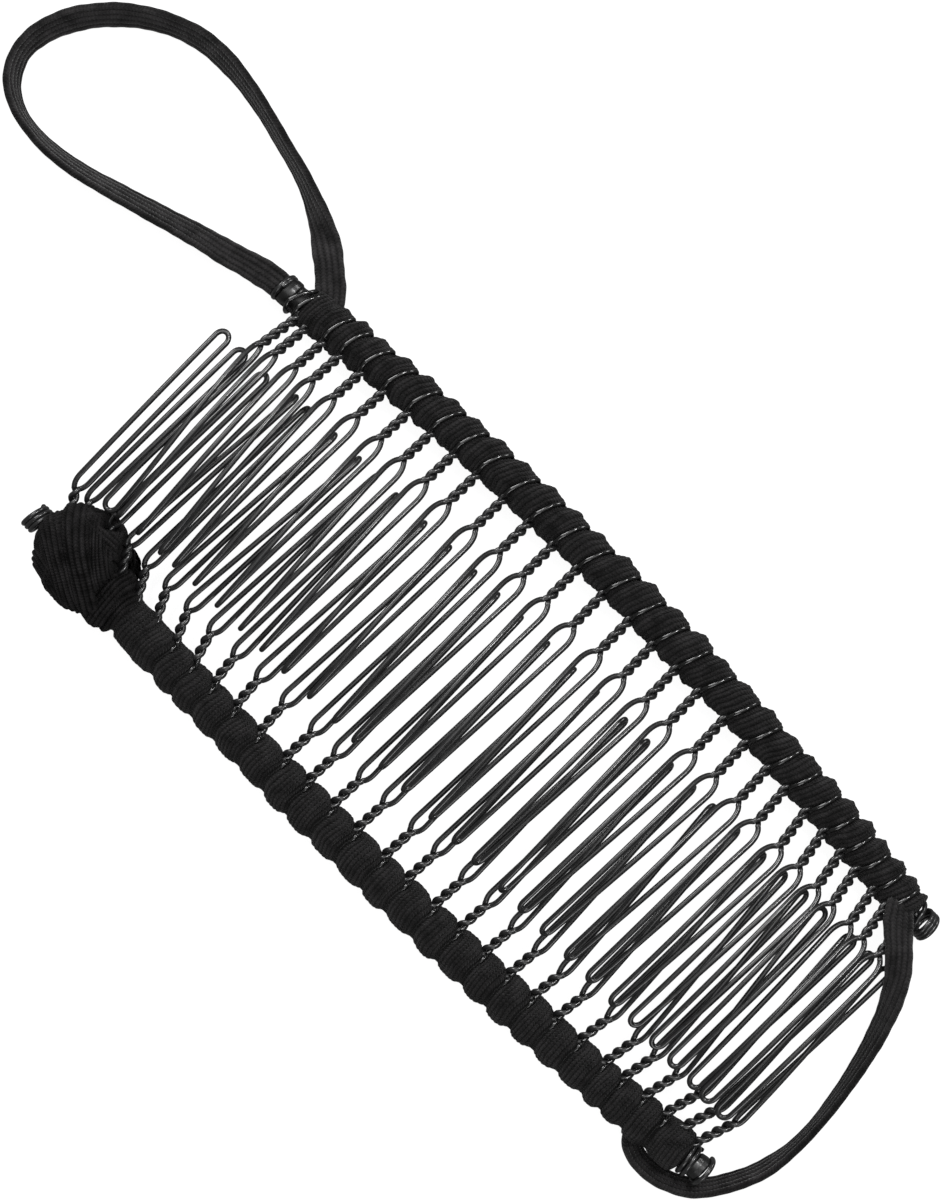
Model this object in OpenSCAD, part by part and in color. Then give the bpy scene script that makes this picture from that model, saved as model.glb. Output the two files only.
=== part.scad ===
// Banana hair clip: two arched wire combs whose spines are wound with flat elastic.
// One elastic runs from the knot along the lower spine, over the link to the upper
// spine and out into the loop that hooks over the knot. The teeth of the two combs
// interlace in the middle. Millimetres. +X runs along the combs, +Y from the lower
// to the upper comb, +Z away from the surface that the clip lies on.

/* [Spines] */
// Height of both spines above the surface
spine_z = 3.9; // [3.6:0.05:4.2]
// Upper spine's place at mid length
upper_spine_y = 31.5; // [30:0.1:33]
// Lower spine's place at mid length, on the other side
lower_spine_y = -31.1; // [-33:0.1:-30]
// How far the upper spine bends inwards at its ends
upper_bow = 4; // [2:0.1:4.5]
// How far the lower spine bends inwards at its ends
lower_bow = 2.5; // [1:0.1:3.5]
// How far left of mid length the upper spine is widest
upper_shift = 4; // [0:0.5:6]
// Diameter of the wire bundle inside a spine
core_d = 1.8; // [1.4:0.1:2]

/* [Teeth] */
// Diameter of the comb wire
wire_d = 0.87; // [0.8:0.01:0.9]
// Diameter of a twisted stem, two wires thick
stem_d = 1.74; // [1.6:0.02:1.8]
// Rise of the upper comb's teeth above its spine at mid width
upper_rise = 9; // [8.8:0.1:10.5]
// Rise of the lower comb's teeth, which lie under the upper ones
lower_rise = 5.5; // [4:0.1:5.6]
// Half of the width that both arches span
arch_half = 31; // [30.5:0.1:32]
// Half width of a tooth's bent tip, seen square to it
tip_half = 0.85; // [0.8:0.01:0.95]
// How much wider a tip is where the tooth isn't turned on edge
tip_flare = 0.3; // [0:0.05:0.35]
// Length over which an upper tooth opens below its stem
upper_shoulder = 3.4; // [2.5:0.1:4]
// Length over which a lower tooth opens above its stem
lower_shoulder = 2.3; // [1.8:0.1:3]
// Length of the rounded end of a tooth
tip_len = 1.4; // [1:0.1:2]

/* [Windings] */
// Outer diameter of the wound elastic
winding_d = 7.8; // [7:0.1:7.8]
// Diameter in the grooves between two turns
groove_d = 6.8; // [6:0.1:7]
// Clearance between the elastic and the wire inside it
wire_gap = 0.2; // [0.1:0.05:0.3]

/* [Elastic] */
// Width of the flat elastic
band_w = 4.5; // [4:0.1:5]
// Thickness of the flat elastic
band_t = 1.4; // [1:0.1:1.8]

/* [Knot] */
// Length of the knot along the spine
knot_l = 18.6; // [17:0.1:20]
// Width of the knot across the spine
knot_w = 16.8; // [15:0.1:17]
// Height of the knot above the surface
knot_h = 13.4; // [12:0.1:14]

/* [Hidden] */

UPPER = 1;
LOWER = -1;

// The teeth from left to right, a row for each tooth:
// place of the fork, half width at the shoulder, place of the tip, turn of the tip in degrees
upper_teeth = [
    [-70.3, 0.8, -69.3, 180], [-67.5, 0.9, -67.3, 110], [-63.6, 1.0, -62.9, 90],
    [-60.1, 1.1, -58.0, 80], [-55.6, 1.15, -54.9, 85], [-50.7, 1.3, -50.4, 90],
    [-45.4, 1.3, -45.3, 90], [-40.3, 1.35, -39.9, 90], [-35.2, 1.35, -35.0, 90],
    [-30.1, 1.4, -29.9, 80], [-24.1, 1.45, -24.0, 85], [-18.4, 1.5, -18.3, 75],
    [-12.9, 1.5, -13.7, 70], [-7.3, 1.55, -7.5, 75], [-1.3, 1.65, -2.2, 65],
    [4.8, 1.65, 4.2, 70], [10.4, 1.6, 9.7, 60], [15.9, 1.55, 14.4, 55],
    [21.2, 1.7, 20.7, 55], [27.4, 1.65, 25.3, 45], [32.7, 1.6, 30.5, 45],
    [38.2, 1.65, 36.2, 45], [42.9, 1.8, 41.3, 40], [48.4, 1.8, 46.7, 40],
    [53.0, 1.75, 51.4, 25], [57.4, 1.8, 56.4, 20], [61.1, 1.65, 60.7, 0],
    [65.4, 1.65, 65.5, 0], [68.6, 1.6, 68.5, 0], [72.5, 1.65, 72.3, 0]];
lower_teeth = [
    [-75.5, 1.05, -75.6, 0], [-72.6, 0.85, -71.5, 15], [-67.1, 0.95, -66.2, 30],
    [-62.8, 0.9, -60.1, 70], [-58.3, 1.0, -57.3, 60], [-53.4, 1.05, -51.2, 70],
    [-48.4, 1.1, -45.6, 75], [-43.1, 1.1, -41.6, 80], [-37.5, 1.1, -37.1, 80],
    [-32.1, 1.2, -30.5, 75], [-26.2, 1.2, -24.8, 80], [-19.6, 1.2, -19.0, 80],
    [-14.2, 1.15, -13.7, 80], [-8.5, 1.1, -8.3, 85], [-2.9, 1.1, -2.2, 85],
    [3.5, 1.15, 3.9, 90], [8.8, 1.05, 9.2, 95], [15.1, 1.0, 15.7, 115],
    [20.8, 1.0, 20.8, 115], [26.6, 0.95, 26.2, 115], [32.0, 0.9, 31.4, 115],
    [37.5, 0.8, 36.0, 120], [42.7, 0.85, 41.5, 120], [48.2, 0.85, 47.4, 125],
    [53.9, 0.85, 52.1, 130], [58.0, 0.85, 56.7, 135], [62.8, 0.85, 60.8, 165],
    [67.5, 0.8, 67.4, 160], [71.5, 0.65, 71.5, 150], [75.2, 0.6, 75.2, 150]];
// Upper teeth whose neighbours are so close that they pass over them, counted from 0
raised_teeth = [26, 28];
raised_by = 1;

// Where the stems end and the teeth end, place along the comb against place across it
upper_fork_line = [[-71, 18], [-64, 19.3], [-50, 20.6], [-25, 21], [5, 20.8],
                   [25, 20.2], [40, 19.1], [55, 18.5], [72, 17.4]];
lower_fork_line = [[-75, -20.2], [-58, -21.3], [-45, -21.6], [32, -21.6], [48, -21],
                   [58, -20.2], [75, -19]];
upper_tip_line = [[-70, -19], [-63, -18.1], [-50, -17.5], [0, -17.7], [35, -18.5],
                  [60, -19], [72, -19.5]];
lower_tip_line = [[-75, 15.5], [-66, 15], [-60, 16], [45, 16.1], [57, 16.6], [75, 16.9]];
// How far a stem's fork lies beyond its root, along the comb
upper_lean_line = [[-71, -1.6], [-66, -0.5], [0, 0], [40, 0.1], [50, 1.4], [60, 1.4], [72, 1]];
lower_lean_line = [[-58, -4.5], [-48, -3.6], [-43, -2.4], [-37, -0.8], [-26, -0.5], [-19, 0.5],
                   [10, 0.5], [50, 1.2], [63, 2], [75, 3.2]];

// Ends of the windings and of the wire bundles along the combs
upper_winding_x = [-70.2, 72];
lower_winding_x = [-56.5, 73.6];
upper_core_x = [-71.7, 73.4];
lower_core_x = [-75.9, 74.4];

// End coils: place of the first turn, step per turn (its sign is the way it runs),
// number of turns, radius of the wire's middle line
coil_rows = [
    [UPPER, -71.7, -0.92, 4, 2.9],
    [UPPER, 73.4, 1.0, 3, 2.35],
    [LOWER, -75.9, -0.9, 2.5, 2.2],
    [LOWER, 74.4, 1.05, 3, 2.4]];
coil_start = -90;
coil_steps = 8;

// The knot is a ball with a smaller one beside it, both cut flat at the surface
knot_x = -65.9;
knot_y = -27.4;
knot_cut = 0.4;
knot_z = (knot_h - knot_cut) / 2;
tail_x = -60;
tail_l = 11;
tail_d = 10;
tail_z = (tail_d - knot_cut) / 2;
// Lower teeth that pass through the knot, and the room that they have in it
knot_teeth = 5;
pocket_gap = 0.5;
pocket_reach = 1;

// How soon a tooth takes up its turn, from its fork to its tip: less is sooner
upper_turn_power = 0.85;
lower_turn_power = 0.6;
// Places of a leg's bends: clearance at the fork, shares of the straight, angle at the tip
fork_clearance = 0.03;
straight_bends = [0.34, 0.68];
tip_bend = 62;
stem_cone = 1;

// A winding's end is narrower than its turns by end_step, and holes run past solids
end_step = 0.3;
end_margin = 1.5;
overrun = 2;
bore_d = core_d + 2.5 * wire_gap;
hole_sides = 4;
stem_hole_d = (stem_d + 1.5 * wire_gap) / cos(180 / hole_sides);

core_steps = 13;
wire_sides = 6;
winding_sides = 12;
band_sides = 8;
knot_sides = 20;
tail_sides = 16;
elastic_color = "#1b1a1a";
wire_color = "#26272a";

// Middle line of the loop: x, y, z and the tilt of the band's width out of the level
loop_route = [
    [-72.6, 27.75, 3.9, 0], [-76.6, 27.75, 3.9, 0], [-80.5, 26.8, 3.3, 12],
    [-86, 24.9, 2.4, 30], [-92, 23.2, 2.1, 38], [-98.5, 21.4, 2.1, 43],
    [-105.5, 19.4, 2.2, 57], [-111, 18, 2.2, 66], [-116, 17.1, 2.3, 69],
    [-121, 16.8, 2.3, 68], [-126, 18, 2.3, 64], [-130, 20.5, 2.3, 56],
    [-132.6, 24.4, 2.2, 50], [-133, 29, 2.2, 48], [-131.1, 33.7, 2.2, 46],
    [-128, 37.9, 2.1, 44], [-124, 41.8, 2.1, 42], [-119, 45, 2.1, 42],
    [-113.5, 47.1, 2.1, 47], [-108.5, 47.4, 2.2, 56], [-103, 46.9, 2.2, 63],
    [-97, 45.5, 2.3, 67], [-91, 44.1, 2.3, 68], [-85.5, 42.5, 2.2, 60],
    [-80.5, 40.5, 2, 36], [-76, 38.2, 2, 14], [-72.4, 35.9, 2.9, 3],
    [-69.7, 33.8, 3.9, 0]];
// Middle line of the link in the same form
link_route = [
    [70.5, 25.7, 9.3, 0], [72.8, 22.7, 10.2, 0], [75.3, 19.7, 10.4, 0], [77.7, 16.5, 9.5, 2],
    [79.9, 12.5, 7.2, 20], [81.5, 8.4, 4.8, 40], [82.7, 4.2, 3, 53], [83.7, 0, 2.4, 62],
    [84.4, -4.2, 2.3, 67], [84.9, -8.2, 2.3, 69], [85, -11.8, 2.3, 69],
    [84.8, -15.2, 2.3, 66], [84.5, -18.4, 2.2, 58], [83.8, -21.8, 2.1, 49],
    [82.4, -25.7, 2, 43], [80.2, -29.4, 1.8, 37], [77.4, -32.2, 1.7, 32],
    [73.7, -34, 1.6, 30], [70.5, -34.6, 1.6, 30], [68, -34.5, 1.6, 30],
    [66.1, -33.8, 1.6, 30]];

function spine_y(side, x) =
    side == UPPER ? upper_spine_y - upper_bow * pow((x + upper_shift) / 70, 2)
                  : lower_spine_y + lower_bow * pow(x / 70, 2);
function rise(side) = side == UPPER ? upper_rise : lower_rise;
function arch_z(side, y) = spine_z + rise(side) * (1 - pow(y / arch_half, 2));
function teeth(side) = side == UPPER ? upper_teeth : lower_teeth;
function fork_y(side, x) = lookup(x, side == UPPER ? upper_fork_line : lower_fork_line);
function tip_y(side, x) = lookup(x, side == UPPER ? upper_tip_line : lower_tip_line);
function lean(side, x) = lookup(x, side == UPPER ? upper_lean_line : lower_lean_line);
function root_x(side, row) = row[0] - lean(side, row[0]);
function root_at(side, row) =
    let (x = root_x(side, row)) [x, spine_y(side, x), spine_z];
function lift(side, i) = side == UPPER && len(search(i, raised_teeth)) > 0 ? raised_by : 0;
function fork_at(side, i) =
    let (x = teeth(side)[i][0], y = fork_y(side, x)) [x, y, arch_z(side, y) + lift(side, i)];
function shoulder(side) = side == UPPER ? upper_shoulder : lower_shoulder;
function turn_share(side, s) = pow(s, side == UPPER ? upper_turn_power : lower_turn_power);

// A point of tooth i at distance d from its fork, on its left (-1) or right (1) leg,
// with the direction square to the tooth's face there
function tooth_point(side, i, d, leg) =
    let (row = teeth(side)[i],
         y0 = fork_y(side, row[0]), y1 = tip_y(side, row[2]),
         run = abs(y1 - y0), s = d / run, y = y0 + (y1 - y0) * s,
         end_half = tip_half + tip_flare * abs(cos(row[3])),
         opened = d < shoulder(side) ? sqrt(1 - pow(1 - d / shoulder(side), 2)) : 1,
         closed = run - d < tip_len ? sqrt(max(0, 1 - pow(1 - (run - d) / tip_len, 2))) : 1,
         half = (row[1] + (end_half - row[1]) * s) * opened * closed,
         turn = -side * row[3] * turn_share(side, s))
    [[row[0] + (row[2] - row[0]) * s + leg * half * cos(turn), y,
      arch_z(side, y) + lift(side, i) + leg * half * sin(turn)],
     [-sin(turn), 0, cos(turn)]];

// Distances from the fork at which a leg has its bends
function leg_stations(side, i) =
    let (row = teeth(side)[i],
         run = abs(tip_y(side, row[2]) - fork_y(side, row[0])),
         first = asin(min(1, (wire_d / 2 + fork_clearance) / row[1])),
         straight = run - shoulder(side) - tip_len)
    concat([for (a = [first, (first + 90) / 2, 90]) shoulder(side) * (1 - cos(a))],
           [for (f = straight_bends) shoulder(side) + f * straight],
           [for (a = [tip_bend, 0]) run - tip_len * (1 - cos(a))]);

function unit(v) = v / norm(v);
function tangent(path, i) = unit(path[min(i + 1, len(path) - 1)] - path[max(i - 1, 0)]);

// A tube through rings of points, closed at both ends
module skin(rings, sides) {
    count = len(rings) / sides;
    function at(i, k) = i * sides + k % sides;
    polyhedron(rings, concat(
        [[for (k = [0 : sides - 1]) k]],
        [for (i = [0 : count - 2]) for (k = [0 : sides - 1]) [at(i, k), at(i + 1, k), at(i, k + 1)]],
        [for (i = [0 : count - 2]) for (k = [0 : sides - 1])
            [at(i, k + 1), at(i + 1, k), at(i + 1, k + 1)]],
        [[for (k = [sides - 1 : -1 : 0]) at(count - 1, k)]]), convexity = 8);
}

// A tube along the path: facing[i] is square to its width, half_w and half_t are half sizes
module sweep(path, facing, half_w, half_t, sides) {
    skin([for (i = [0 : len(path) - 1])
        let (t = tangent(path, i), b = unit(cross(facing[i], t)), n = cross(t, b))
        for (k = [0 : sides - 1])
            let (a = 360 * (k + 0.5) / sides)
            path[i] + half_w * cos(a) * b + half_t * sin(a) * n], sides);
}

// A round tube in the level with its own radius at each point
module tube(path, radii, sides) {
    skin([for (i = [0 : len(path) - 1])
        let (t = tangent(path, i), b = unit(cross([0, 0, 1], t)))
        for (k = [0 : sides - 1])
            let (a = 360 * (k + 0.5) / sides)
            path[i] + radii[i] / cos(180 / sides) * (cos(a) * b + [0, 0, sin(a)])], sides);
}

module tooth(side, i) {
    stations = leg_stations(side, i);
    n = len(stations);
    points = concat([for (d = stations) tooth_point(side, i, d, -1)],
                    [for (k = [n - 2 : -1 : 0]) tooth_point(side, i, stations[k], 1)]);
    sweep([for (p = points) p[0]], [for (p = points) p[1]], wire_d / 2, wire_d / 2, wire_sides);
}

// Where a stem parts into the two legs of its tooth
function stem_end(side, i) =
    let (d = leg_stations(side, i)[0])
    (tooth_point(side, i, d, -1)[0] + tooth_point(side, i, d, 1)[0]) / 2;

// Two wires twisted together between the spine and the fork, as one rod
module stem(side, i, d, sides) {
    root = root_at(side, teeth(side)[i]);
    way = stem_end(side, i) - root;
    length = norm(way);
    translate(root)
        rotate([0, acos(way[2] / length), atan2(way[1], way[0])])
            hull() {
                cylinder(d1 = d, d2 = 0, h = stem_cone, $fn = sides);
                translate([0, 0, length - stem_cone])
                    cylinder(d1 = 0, d2 = d, h = stem_cone, $fn = sides);
            }
}

module core(side, x0, x1, d) {
    path = [for (i = [0 : core_steps])
        let (x = x0 + (x1 - x0) * i / core_steps) [x, spine_y(side, x), spine_z]];
    sweep(path, [for (p = path) [0, 0, 1]], d / 2, d / 2, wire_sides);
}

module coil(row) {
    side = row[0];
    centre_y = spine_y(side, row[1]);
    count = ceil(row[3] * coil_steps);
    path = [for (i = [0 : count])
        let (turn = i / coil_steps, a = coil_start + 360 * turn)
        [row[1] + row[2] * turn, centre_y + row[4] * cos(a), spine_z + row[4] * sin(a)]];
    facing = [for (i = [0 : count])
        let (a = coil_start + 360 * i / coil_steps) [0, cos(a), sin(a)]];
    sweep(path, facing, wire_d / 2, wire_d / 2, wire_sides);
    hull() {
        translate([row[1], centre_y, spine_z]) sphere(d = wire_d, $fn = wire_sides);
        translate(path[0]) sphere(d = wire_d, $fn = wire_sides);
    }
}

module comb_wire(side, x) {
    core(side, x[0], x[1], core_d);
    for (i = [0 : len(teeth(side)) - 1]) {
        stem(side, i, stem_d, wire_sides);
        tooth(side, i);
    }
    for (row = coil_rows) if (row[0] == side) coil(row);
}

// The elastic wound round the spine, a turn from each stem to the next
module winding(side, x) {
    roots = [for (row = teeth(side)) root_x(side, row)];
    edges = concat([x[0]], [for (r = roots) if (r > x[0] + end_margin && r < x[1] - end_margin) r],
                   [x[1]]);
    turns = len(edges) - 1;
    places = concat([[edges[0], winding_d - end_step]],
        [for (i = [0 : turns - 1]) for (f = [0.5, 1])
            [edges[i] + f * (edges[i + 1] - edges[i]), f == 1 ? groove_d : winding_d]]);
    difference() {
        tube([for (p = places) [p[0], spine_y(side, p[0]), spine_z]],
             [for (p = places) p[1] / 2], winding_sides);
        core(side, x[0] - overrun, x[1] + overrun, bore_d);
        for (i = [0 : len(teeth(side)) - 1])
            if (roots[i] > x[0] - end_margin) stem(side, i, stem_hole_d, hole_sides);
    }
}

module upper_comb_wire() { color(wire_color) comb_wire(UPPER, upper_core_x); }
module lower_comb_wire() { color(wire_color) comb_wire(LOWER, lower_core_x); }
module upper_winding() { color(elastic_color) winding(UPPER, upper_winding_x); }
module lower_winding() { color(elastic_color) winding(LOWER, lower_winding_x); }

// Room in the knot for a lower tooth's stem and for the start of its legs
module pocket(i) {
    stem(LOWER, i, stem_d + 2 * pocket_gap, wire_sides);
    hull() {
        translate(fork_at(LOWER, i)) sphere(d = stem_d + 2 * pocket_gap, $fn = wire_sides);
        for (leg = [-1, 1])
            translate(tooth_point(LOWER, i, lower_shoulder + pocket_reach, leg)[0])
                sphere(d = wire_d + 2 * pocket_gap, $fn = wire_sides);
    }
}

// The knot is wound round the lower spine's end, up to the winding beside it
module knot() {
    end_x = lower_winding_x[0] - pocket_gap;
    color(elastic_color) difference() {
        intersection() {
            union() {
                translate([knot_x, knot_y, knot_z])
                    scale([knot_l, knot_w, knot_h + knot_cut] / 2) sphere(r = 1, $fn = knot_sides);
                translate([tail_x, spine_y(LOWER, tail_x), tail_z])
                    scale([tail_l, tail_d, tail_d] / 2) sphere(r = 1, $fn = tail_sides);
            }
            translate([end_x - 2 * knot_l, knot_y - knot_w, 0])
                cube([2 * knot_l, 2 * knot_w, 2 * knot_h]);
        }
        core(LOWER, lower_core_x[0] - overrun, end_x + overrun, core_d + 2 * pocket_gap);
        for (i = [0 : knot_teeth - 1]) pocket(i);
    }
}

// Flat elastic along a route
module band(route) {
    path = [for (p = route) [p[0], p[1], p[2]]];
    facing = [for (i = [0 : len(route) - 1])
        let (t = tangent(path, i), level = unit(cross([0, 0, 1], t)), up = cross(t, level))
        cos(route[i][3]) * up - sin(route[i][3]) * level];
    flats = cos(180 / band_sides);
    sweep(path, facing, band_w / 2 / flats, band_t / 2 / flats, band_sides);
}

module elastic_loop() { color(elastic_color) band(loop_route); }
module elastic_link() { color(elastic_color) band(link_route); }

upper_comb_wire();
lower_comb_wire();
upper_winding();
lower_winding();
knot();
elastic_loop();
elastic_link();
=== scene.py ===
import bpy
import math
import numpy as np
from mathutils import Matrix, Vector


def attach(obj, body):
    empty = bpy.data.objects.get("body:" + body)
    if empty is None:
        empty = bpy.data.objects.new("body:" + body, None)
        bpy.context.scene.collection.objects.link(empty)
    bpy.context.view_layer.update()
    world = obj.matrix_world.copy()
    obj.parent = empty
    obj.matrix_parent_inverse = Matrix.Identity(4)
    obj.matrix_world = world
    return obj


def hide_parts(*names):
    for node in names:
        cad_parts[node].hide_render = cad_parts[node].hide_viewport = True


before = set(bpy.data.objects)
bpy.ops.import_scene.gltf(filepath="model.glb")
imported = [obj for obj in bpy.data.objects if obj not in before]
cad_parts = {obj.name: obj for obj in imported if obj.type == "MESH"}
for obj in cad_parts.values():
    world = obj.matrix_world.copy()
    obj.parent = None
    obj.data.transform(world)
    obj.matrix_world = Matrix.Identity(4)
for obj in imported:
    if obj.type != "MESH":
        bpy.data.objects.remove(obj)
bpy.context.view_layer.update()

# Banana hair clip seen from straight above. Two wire combs interlace in the middle, flat
# knitted elastic is wound round their spines, and ends in a knot on one side and a loop
# on the other. Tables are in millimetres unless a note says metres.

mm = 0.001
lowest = 0.02    # how far the lowest points stay above the floor
rng = np.random.default_rng(7)


def unit(v):
    v = np.asarray(v, float)
    return v / np.linalg.norm(v, axis=-1, keepdims=True)


def ease(t):
    t = np.clip(t, 0, 1)
    return t * t * (3 - 2 * t)


# Read a table of two columns, with straight lines between its rows
def lookUp(x, table):
    table = np.array(table)
    return np.interp(x, table[:, 0], table[:, 1])


# A quarter round: from least at an end to 1 at a length away from it
def quarterRound(fromEnd, length, least=0.1):
    return np.sqrt(np.clip(1 - (1 - np.clip(fromEnd / length, 0, 1)) ** 2, least, 1))


# A slow random wander between about -1 and 1 over two coordinates
def wander(u, v, seed, scale=1.0):
    dice = np.random.default_rng(seed)
    total = 0
    for k in range(5):
        a, b = dice.random(3)[:2] * 6.28    # up to a full turn
        f = scale * (0.6 + 0.5 * k)
        total = total + np.sin(f * (u * math.cos(a) + v * math.sin(a)) + b) / (1 + 0.4 * k)
    return total / 2


def addObject(name, data):
    obj = bpy.data.objects.new(name, data)
    bpy.context.collection.objects.link(obj)
    return obj


# The camera comes first
cameraSet = {
    "middle": (-16.2, 12.3, 3.9),   # what the middle of the picture shows
    "turn": 44.5,                   # degrees, so that the combs run down to the right
    "frameHeight": 198.0,
    "lens": 200.0,
    "sensor": 36.0,
    "clipEnd": 5.0,                 # metres
}


def addCamera(c):
    data = bpy.data.cameras.new("camera")
    data.sensor_fit = "VERTICAL"
    data.sensor_height = c["sensor"]
    data.lens = c["lens"]
    data.clip_end = c["clipEnd"]
    distance = c["frameHeight"] * c["lens"] / c["sensor"]
    cam = addObject("camera", data)
    x, y, z = c["middle"]
    cam.location = (x * mm, y * mm, (z + distance) * mm)
    cam.rotation_euler = (0, 0, math.radians(c["turn"]))
    bpy.context.scene.camera = cam


addCamera(cameraSet)
print("camera set")


# Materials, small helpers first
def startMaterial(name):
    mat = bpy.data.materials.new(name)
    mat.use_nodes = True
    return mat, mat.node_tree, mat.node_tree.nodes["Principled BSDF"]


def addNode(tree, kind, **values):
    node = tree.nodes.new(kind)
    for key, value in values.items():
        if hasattr(node, key):
            setattr(node, key, value)
        else:
            node.inputs[key].default_value = value
    return node


def mathNode(tree, operation, a, b=None):
    node = tree.nodes.new("ShaderNodeMath")
    node.operation = operation
    for k, value in enumerate((a, b)):
        if value is None:
            continue
        if isinstance(value, (int, float)):
            node.inputs[k].default_value = value
        else:
            tree.links.new(value, node.inputs[k])
    return node.outputs[0]


def noiseAt(tree, place, scale, detail, roughness):
    noise = addNode(tree, "ShaderNodeTexNoise", Scale=scale, Detail=detail, Roughness=roughness)
    tree.links.new(place, noise.inputs["Vector"])
    return noise.outputs["Fac"]


def darkToLight(tree, shade, look, darkUpTo, lightFrom):
    ramp = addNode(tree, "ShaderNodeValToRGB")
    dark, light = ramp.color_ramp.elements
    dark.position = darkUpTo
    dark.color = (*look["dark"], 1)
    light.position = lightFrom
    light.color = (*look["light"], 1)
    tree.links.new(shade, ramp.inputs[0])
    return ramp.outputs[0]


def roughBetween(tree, source, low, high):
    rough = addNode(tree, "ShaderNodeMapRange")
    rough.inputs["To Min"].default_value = low
    rough.inputs["To Max"].default_value = high
    tree.links.new(source, rough.inputs["Value"])
    return rough.outputs[0]


bandLook = {
    "dark": (0.0016, 0.0014, 0.0015),
    "light": (0.0245, 0.023, 0.0237),
    "ribPitch": 0.95,       # across the band, mm
    "stitchPitch": 0.6,     # along the band, mm
    "ribBump": 0.14,        # heights, mm
    "stitchBump": 0.035,
    "fuzzBump": 0.16,
    "sheen": 0.11,
    "specular": 0.14,
    "ribHighlights": 1.1,
}
woundLook = {
    "dark": (0.0008, 0.0007, 0.0007),
    "light": (0.017, 0.016, 0.0165),
    "ribPitch": 0.95,
    "stitchPitch": 0.62,
    "ribBump": 0.2,
    "stitchBump": 0.07,
    "fuzzBump": 0.24,
    "sheen": 0.035,
    "specular": 0.14,
    "ribHighlights": 1.3,
}
# the knot is the wound elastic with darker colours as painted shade, and less sheen and specular
knotLook = dict(woundLook)
knotLook.update({
    "dark": (0.0005, 0.0004, 0.0004),
    "light": (0.0155, 0.0145, 0.015),
    "ribBump": 0.3,
    "sheen": 0.01,
    "specular": 0.08,
    "ribHighlights": 1.35,
})
# what all finishes of the elastic share
knitSet = {
    "fuzzScale": 3000.0,
    "cloudScale": 420.0,
    "laneScale": (0.9, 0.07, 1),    # streaks are narrow across the band and long along it
    "stitchLean": 0.6,              # how far a stitch climbs along a rib, share of its pitch
    "stitchWander": 0.9,            # mm
    "stitchTint": 0.1,
    "fuzzTint": 0.9,
    "darkUpTo": 0.2,
    "lightFrom": 0.75,
    "roughLow": 0.78,
    "roughHigh": 0.95,
    "sheenRough": 0.45,
}


# Knitted elastic. The UV map holds millimetres: U across the band, V along it
def knittedElastic(name, look):
    k = knitSet
    mat, tree, bsdf = startMaterial(name)
    uv = addNode(tree, "ShaderNodeUVMap", uv_map="knit").outputs[0]
    parts = addNode(tree, "ShaderNodeSeparateXYZ")
    tree.links.new(uv, parts.inputs[0])
    across, along = parts.outputs[0], parts.outputs[1]
    place = addNode(tree, "ShaderNodeTexCoord").outputs["Object"]
    fuzz = noiseAt(tree, place, k["fuzzScale"], 4.0, 0.7)
    cloudy = noiseAt(tree, place, k["cloudScale"], 2.0, 0.5)
    # a rib is half a sine wave; the stitches on it slant both ways from its middle
    wave = mathNode(tree, "MULTIPLY", across, math.pi / look["ribPitch"])
    rib = mathNode(tree, "ABSOLUTE", mathNode(tree, "SINE", wave))
    slant = mathNode(tree, "MULTIPLY", rib, look["stitchPitch"] * k["stitchLean"])
    walk = mathNode(tree, "ADD", along, slant)
    drift = mathNode(tree, "MULTIPLY", cloudy, k["stitchWander"])
    walk = mathNode(tree, "ADD", walk, drift)
    turn = mathNode(tree, "MULTIPLY", walk, 2 * math.pi / look["stitchPitch"])
    stitch = mathNode(tree, "SINE", turn)
    # painted highlight: long lanes along the ribs, as some ribs catch more light than others
    lanes = addNode(tree, "ShaderNodeMapping")
    lanes.inputs["Scale"].default_value = k["laneScale"]
    tree.links.new(uv, lanes.inputs["Vector"])
    ribHighlight = noiseAt(tree, lanes.outputs[0], 1.0, 2.0, 0.6)
    # colour: painted shade between the ribs and painted highlight on some of them, with a cloudy,
    # fuzzy tone along them
    shade = mathNode(tree, "MULTIPLY", rib,
                     mathNode(tree, "MULTIPLY", ribHighlight, look["ribHighlights"]))
    shade = mathNode(tree, "ADD", shade,
                     mathNode(tree, "MULTIPLY", stitch, k["stitchTint"]))
    shade = mathNode(tree, "ADD", shade,
                     mathNode(tree, "MULTIPLY", fuzz, k["fuzzTint"]))
    shade = mathNode(tree, "MULTIPLY", shade, cloudy)
    colour = darkToLight(tree, shade, look, k["darkUpTo"], k["lightFrom"])
    tree.links.new(colour, bsdf.inputs["Base Color"])
    # height for the bump, in millimetres
    height = mathNode(tree, "MULTIPLY", stitch, look["stitchBump"])
    height = mathNode(tree, "ADD", height,
                      mathNode(tree, "MULTIPLY", fuzz, look["fuzzBump"]))
    height = mathNode(tree, "ADD", height,
                      mathNode(tree, "MULTIPLY", rib, look["ribBump"]))
    bump = addNode(tree, "ShaderNodeBump", Strength=1.0, Distance=mm)
    tree.links.new(height, bump.inputs["Height"])
    tree.links.new(bump.outputs[0], bsdf.inputs["Normal"])
    rough = roughBetween(tree, fuzz, k["roughLow"], k["roughHigh"])
    tree.links.new(rough, bsdf.inputs["Roughness"])
    bsdf.inputs["Specular IOR Level"].default_value = look["specular"]
    bsdf.inputs["Sheen Weight"].default_value = look["sheen"]
    bsdf.inputs["Sheen Roughness"].default_value = k["sheenRough"]
    return mat


wireLook = {
    "dark": (0.006, 0.006, 0.0062),
    "light": (0.015, 0.015, 0.0155),
    "roughLow": 0.24,
    "roughHigh": 0.33,
    "coat": 0.2,
    "grain": 0.12,
}
# the turns of wire between the windings are polished by the elastic; their colour is darker than
# the wire's, as painted shade in the grooves
turnLook = {
    "dark": (0.002, 0.002, 0.002),
    "light": (0.006, 0.006, 0.006),
    "roughLow": 0.12,
    "roughHigh": 0.24,
    "coat": 0.4,
    "grain": 0.04,
}
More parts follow.
